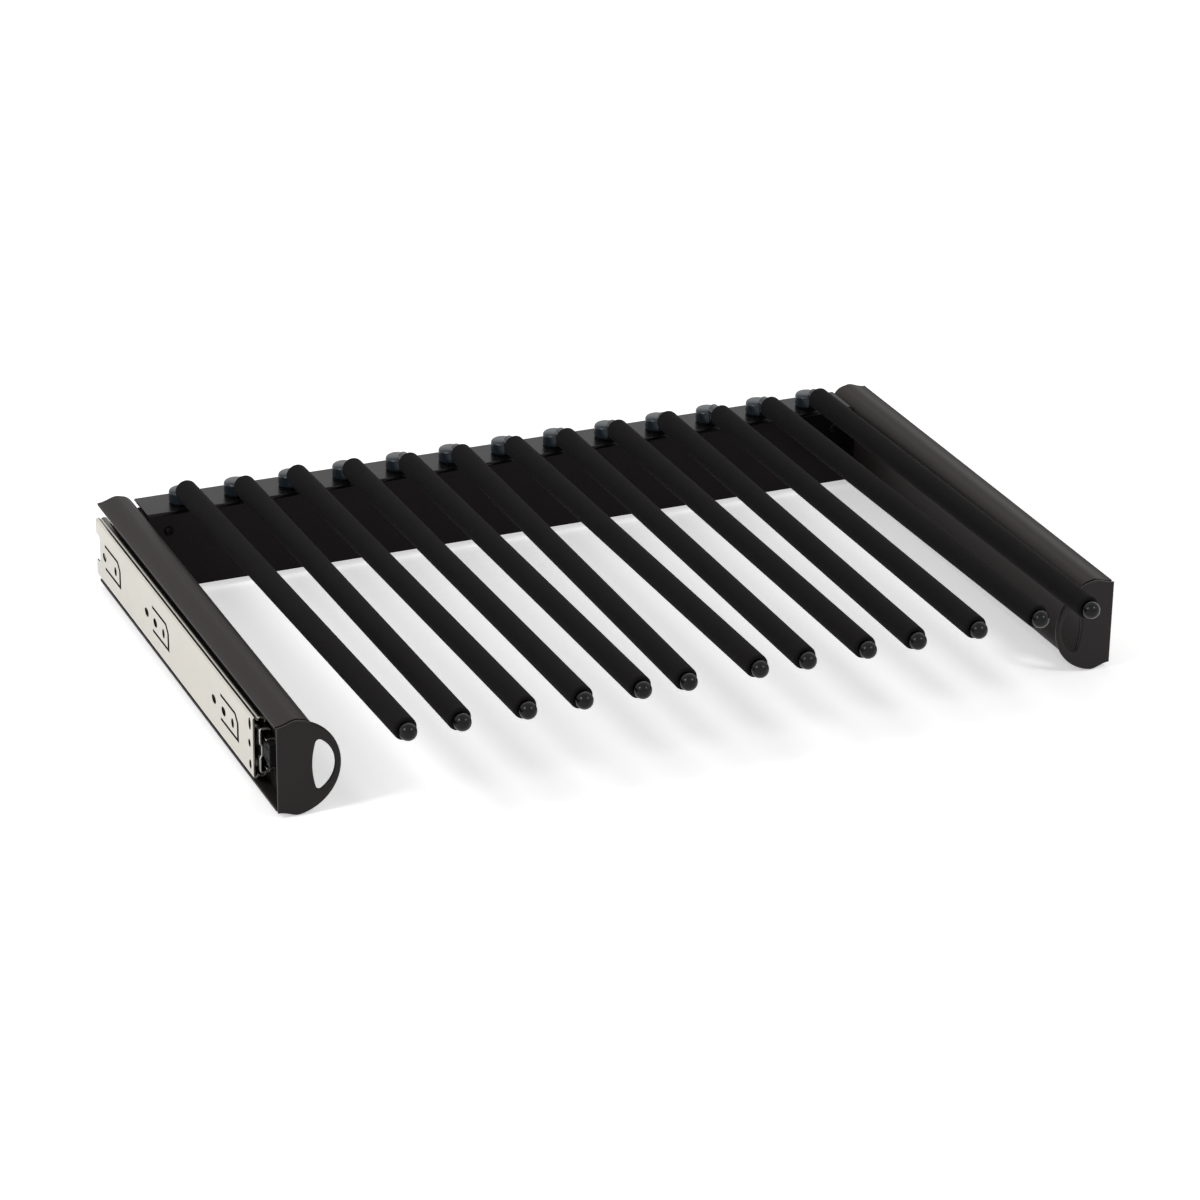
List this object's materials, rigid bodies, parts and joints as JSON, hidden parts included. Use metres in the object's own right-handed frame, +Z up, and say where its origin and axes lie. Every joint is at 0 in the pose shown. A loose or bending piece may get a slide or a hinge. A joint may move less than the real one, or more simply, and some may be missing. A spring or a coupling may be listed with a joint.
{
  "type": "pull-out trouser rack",
  "caption": "Wardrobe rack that rolls out on ball slides: a rear rail between two side profiles carries foam-covered bars, each ending in a ball, to hang trousers on.",
  "frame": {"origin": "middle of the floor rectangle under the rack, pushed in", "axes": "+X to the right across the rack, -Y to the open front where the bars end, +Z up"},
  "size_m": [0.624, 0.4572, 0.0855],
  "materials": {
    "profile_black": "black anodised, satin",
    "cap_black": "satin moulded plastic",
    "rail_black": "black powder coat, satin",
    "slide_zinc": "bright zinc plating",
    "cage_steel": "plain steel strip with polished balls",
    "holder_grey": "blue-grey moulded plastic, satin",
    "foam_black": "fine-celled foam, matt",
    "bar_black": "glossy black",
    "block_grey": "die-cast zinc, dark grey",
    "buffer_grey": "dark grey plastic, matt",
    "screw_black": "blackened steel"
  },
  "bodies": {
    "cabinet_members": {"slide_cabinet_member_left": "slide_zinc", "slide_cabinet_member_right": "slide_zinc"},
    "rack": {"rear_rail": "rail_black", "side_profile_left": "profile_black", "end_cap_left": "cap_black", "slide_drawer_member_left": "slide_zinc", "slide_buffer_left": "buffer_grey", "corner_block_left": "block_grey", "rail_screw_left": "screw_black", "side_profile_right": "profile_black", "end_cap_right": "cap_black", "slide_drawer_member_right": "slide_zinc", "slide_buffer_right": "buffer_grey", "corner_block_right": "block_grey", "rail_screw_right": "screw_black", "bar_holder_01": "holder_grey", "trouser_bar_01": "bar_black", "foam_sleeve_01": "foam_black", "bar_holder_02": "holder_grey", "trouser_bar_02": "bar_black", "foam_sleeve_02": "foam_black", "bar_holder_03": "holder_grey", "trouser_bar_03": "bar_black", "foam_sleeve_03": "foam_black", "bar_holder_04": "holder_grey", "trouser_bar_04": "bar_black", "foam_sleeve_04": "foam_black", "bar_holder_05": "holder_grey", "trouser_bar_05": "bar_black", "foam_sleeve_05": "foam_black", "bar_holder_06": "holder_grey", "trouser_bar_06": "bar_black", "foam_sleeve_06": "foam_black", "bar_holder_07": "holder_grey", "trouser_bar_07": "bar_black", "foam_sleeve_07": "foam_black", "bar_holder_08": "holder_grey", "trouser_bar_08": "bar_black", "foam_sleeve_08": "foam_black", "bar_holder_09": "holder_grey", "trouser_bar_09": "bar_black", "foam_sleeve_09": "foam_black", "bar_holder_10": "holder_grey", "trouser_bar_10": "bar_black", "foam_sleeve_10": "foam_black", "bar_holder_11": "holder_grey", "trouser_bar_11": "bar_black", "foam_sleeve_11": "foam_black", "bar_holder_12": "holder_grey", "trouser_bar_12": "bar_black", "foam_sleeve_12": "foam_black", "bar_holder_13": "holder_grey", "trouser_bar_13": "bar_black", "foam_sleeve_13": "foam_black"},
    "middle_member_left": {"slide_middle_member_left": "slide_zinc"},
    "outer_cage_left": {"outer_ball_cage_left": "cage_steel"},
    "inner_cage_left": {"inner_ball_cage_left": "cage_steel"},
    "middle_member_right": {"slide_middle_member_right": "slide_zinc"},
    "outer_cage_right": {"outer_ball_cage_right": "cage_steel"},
    "inner_cage_right": {"inner_ball_cage_right": "cage_steel"}
  },
  "joints": [
    {"name": "rack_slide", "type": "slide", "parent": "cabinet_members", "child": "rack", "axis": [0, -1, 0], "range_m": [0, 0.35]},
    {"name": "middle_member_left_slide", "type": "slide", "parent": "cabinet_members", "child": "middle_member_left", "axis": [0, -1, 0], "range_m": [0, 0.175]},
    {"name": "outer_cage_left_slide", "type": "slide", "parent": "cabinet_members", "child": "outer_cage_left", "axis": [0, -1, 0], "range_m": [0, 0.0875]},
    {"name": "inner_cage_left_slide", "type": "slide", "parent": "cabinet_members", "child": "inner_cage_left", "axis": [0, -1, 0], "range_m": [0, 0.2625]},
    {"name": "middle_member_right_slide", "type": "slide", "parent": "cabinet_members", "child": "middle_member_right", "axis": [0, -1, 0], "range_m": [0, 0.175]},
    {"name": "outer_cage_right_slide", "type": "slide", "parent": "cabinet_members", "child": "outer_cage_right", "axis": [0, -1, 0], "range_m": [0, 0.0875]},
    {"name": "inner_cage_right_slide", "type": "slide", "parent": "cabinet_members", "child": "inner_cage_right", "axis": [0, -1, 0], "range_m": [0, 0.2625]}
  ],
  "couplings": [
    {"joint": "middle_member_left_slide", "follows": "rack_slide", "ratio": 0.5},
    {"joint": "outer_cage_left_slide", "follows": "rack_slide", "ratio": 0.25},
    {"joint": "inner_cage_left_slide", "follows": "rack_slide", "ratio": 0.75},
    {"joint": "middle_member_right_slide", "follows": "rack_slide", "ratio": 0.5},
    {"joint": "outer_cage_right_slide", "follows": "rack_slide", "ratio": 0.25},
    {"joint": "inner_cage_right_slide", "follows": "rack_slide", "ratio": 0.75}
  ]
}
